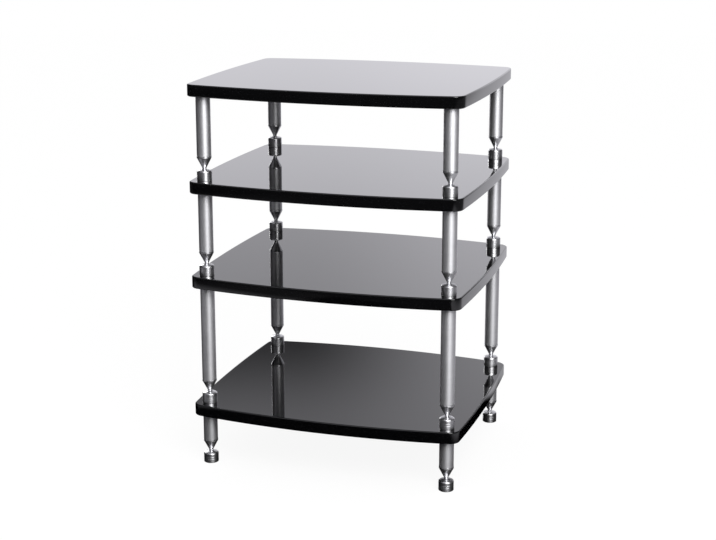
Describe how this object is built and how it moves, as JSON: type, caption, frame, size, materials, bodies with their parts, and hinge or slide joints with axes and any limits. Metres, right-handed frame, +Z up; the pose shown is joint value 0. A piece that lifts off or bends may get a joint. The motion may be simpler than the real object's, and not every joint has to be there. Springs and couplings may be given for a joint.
{
  "type": "audio equipment rack",
  "caption": "Open rack of bowed gloss black boards on round metal pillars with cone spikes in cups, for audio components; boards lift off and the floor spikes screw for levelling.",
  "frame": {"origin": "on the floor under the middle of the rack", "axes": "+X to the right, +Y from the front to the back, +Z up"},
  "size_m": [0.592, 0.514, 0.817],
  "materials": {
    "board_lacquer": "fibreboard under high-gloss black lacquer, polished flat",
    "pillar_aluminium": "turned aluminium with a satin face",
    "spike_steel": "turned steel, polished and plated",
    "cup_steel": "turned steel, polished and plated, with fine turning lines",
    "insert_brass": "plain turned brass",
    "stud_steel": "plain zinc-plated steel"
  },
  "bodies": {
    "base_module": {"base_shelf": "board_lacquer", "base_pillar_front_left": "pillar_aluminium", "base_pillar_front_right": "pillar_aluminium", "base_pillar_back_left": "pillar_aluminium", "base_pillar_back_right": "pillar_aluminium", "base_cup_front_left": "cup_steel", "base_cup_front_right": "cup_steel", "base_cup_back_left": "cup_steel", "base_cup_back_right": "cup_steel"},
    "lower_module": {"lower_shelf": "board_lacquer", "lower_pillar_front_left": "pillar_aluminium", "lower_pillar_front_right": "pillar_aluminium", "lower_pillar_back_left": "pillar_aluminium", "lower_pillar_back_right": "pillar_aluminium", "lower_spike_front_left": "spike_steel", "lower_spike_front_right": "spike_steel", "lower_spike_back_left": "spike_steel", "lower_spike_back_right": "spike_steel", "lower_cup_front_left": "cup_steel", "lower_cup_front_right": "cup_steel", "lower_cup_back_left": "cup_steel", "lower_cup_back_right": "cup_steel"},
    "middle_module": {"middle_shelf": "board_lacquer", "middle_pillar_front_left": "pillar_aluminium", "middle_pillar_front_right": "pillar_aluminium", "middle_pillar_back_left": "pillar_aluminium", "middle_pillar_back_right": "pillar_aluminium", "middle_spike_front_left": "spike_steel", "middle_spike_front_right": "spike_steel", "middle_spike_back_left": "spike_steel", "middle_spike_back_right": "spike_steel", "middle_cup_front_left": "cup_steel", "middle_cup_front_right": "cup_steel", "middle_cup_back_left": "cup_steel", "middle_cup_back_right": "cup_steel"},
    "top_module": {"top_shelf": "board_lacquer", "top_pillar_front_left": "pillar_aluminium", "top_pillar_front_right": "pillar_aluminium", "top_pillar_back_left": "pillar_aluminium", "top_pillar_back_right": "pillar_aluminium", "top_spike_front_left": "spike_steel", "top_spike_front_right": "spike_steel", "top_spike_back_left": "spike_steel", "top_spike_back_right": "spike_steel", "top_insert_front_left": "insert_brass", "top_insert_front_right": "insert_brass", "top_insert_back_left": "insert_brass", "top_insert_back_right": "insert_brass", "top_stud_front_left": "stud_steel", "top_stud_front_right": "stud_steel", "top_stud_back_left": "stud_steel", "top_stud_back_right": "stud_steel"},
    "floor_cup_front_left": {"floor_cup_front_left": "cup_steel"},
    "base_spike_front_left": {"base_spike_front_left": "spike_steel"},
    "floor_cup_front_right": {"floor_cup_front_right": "cup_steel"},
    "base_spike_front_right": {"base_spike_front_right": "spike_steel"},
    "floor_cup_back_left": {"floor_cup_back_left": "cup_steel"},
    "base_spike_back_left": {"base_spike_back_left": "spike_steel"},
    "floor_cup_back_right": {"floor_cup_back_right": "cup_steel"},
    "base_spike_back_right": {"base_spike_back_right": "spike_steel"}
  },
  "joints": [
    {"name": "lower_module_lift", "type": "slide", "parent": "base_module", "child": "lower_module", "axis": [0, 0, 1], "range_m": [0, 0.06]},
    {"name": "middle_module_lift", "type": "slide", "parent": "lower_module", "child": "middle_module", "axis": [0, 0, 1], "range_m": [0, 0.06]},
    {"name": "top_module_lift", "type": "slide", "parent": "middle_module", "child": "top_module", "axis": [0, 0, 1], "range_m": [0, 0.06]},
    {"name": "front_left_level", "type": "slide", "parent": "base_module", "child": "floor_cup_front_left", "axis": [0, 0, -1], "range_m": [0, 0.005]},
    {"name": "front_left_spike_turn", "type": "hinge", "parent": "floor_cup_front_left", "child": "base_spike_front_left", "pos_m": [-0.26, -0.207, 0.0511], "axis": [0, 0, -1], "range_deg": [0, 1440]},
    {"name": "front_right_level", "type": "slide", "parent": "base_module", "child": "floor_cup_front_right", "axis": [0, 0, -1], "range_m": [0, 0.005]},
    {"name": "front_right_spike_turn", "type": "hinge", "parent": "floor_cup_front_right", "child": "base_spike_front_right", "pos_m": [0.26, -0.207, 0.0511], "axis": [0, 0, -1], "range_deg": [0, 1440]},
    {"name": "back_left_level", "type": "slide", "parent": "base_module", "child": "floor_cup_back_left", "axis": [0, 0, -1], "range_m": [0, 0.005]},
    {"name": "back_left_spike_turn", "type": "hinge", "parent": "floor_cup_back_left", "child": "base_spike_back_left", "pos_m": [-0.26, 0.207, 0.0511], "axis": [0, 0, -1], "range_deg": [0, 1440]},
    {"name": "back_right_level", "type": "slide", "parent": "base_module", "child": "floor_cup_back_right", "axis": [0, 0, -1], "range_m": [0, 0.005]},
    {"name": "back_right_spike_turn", "type": "hinge", "parent": "floor_cup_back_right", "child": "base_spike_back_right", "pos_m": [0.26, 0.207, 0.0511], "axis": [0, 0, -1], "range_deg": [0, 1440]}
  ],
  "couplings": [
    {"joint": "front_left_spike_turn", "follows": "front_left_level", "rad_per_m": 5026.5},
    {"joint": "front_right_spike_turn", "follows": "front_right_level", "rad_per_m": 5026.5},
    {"joint": "back_left_spike_turn", "follows": "back_left_level", "rad_per_m": 5026.5},
    {"joint": "back_right_spike_turn", "follows": "back_right_level", "rad_per_m": 5026.5}
  ]
}
